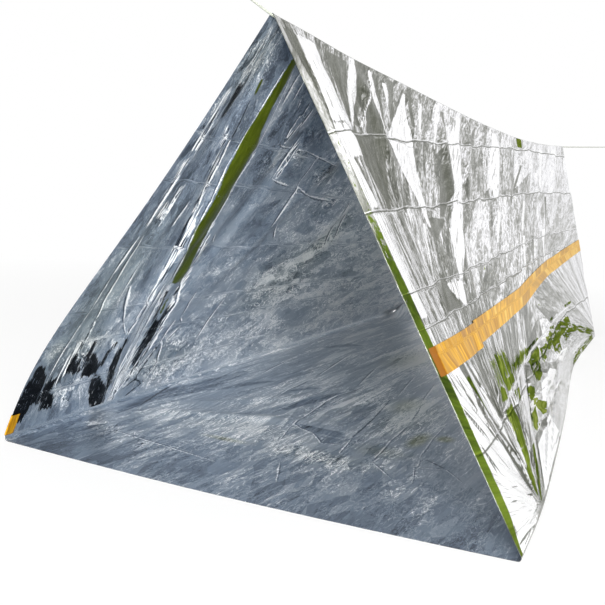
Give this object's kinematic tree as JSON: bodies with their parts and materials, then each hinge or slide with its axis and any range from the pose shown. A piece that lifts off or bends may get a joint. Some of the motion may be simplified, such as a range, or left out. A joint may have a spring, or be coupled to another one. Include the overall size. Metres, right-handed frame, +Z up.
{
  "type": "emergency tube tent on a ridge cord",
  "caption": "Open-ended tube of crumpled aluminised film with orange seam tape, hung as a ridge tent over a sagging cord.",
  "frame": {"origin": "on the ground under the middle of the tent, at the bottom centre of the film's bounding box", "axes": "+Y from the front mouth to the back one, along the ridge; +X towards the wall with the long orange seam; +Z up"},
  "size_m": [1.0845, 3.7312, 0.8618],
  "materials": {
    "film": "crumpled mirror of aluminised plastic film",
    "tape": "glossy orange adhesive tape",
    "cord": "braided cord"
  },
  "bodies": {
    "root": {"film_roof": "film", "film_floor": "film", "tape_right": "tape", "tape_patch": "tape", "tape_left": "tape", "ridge_cord": "cord", "front_knot": "cord", "back_knot": "cord"}
  },
  "joints": []
}
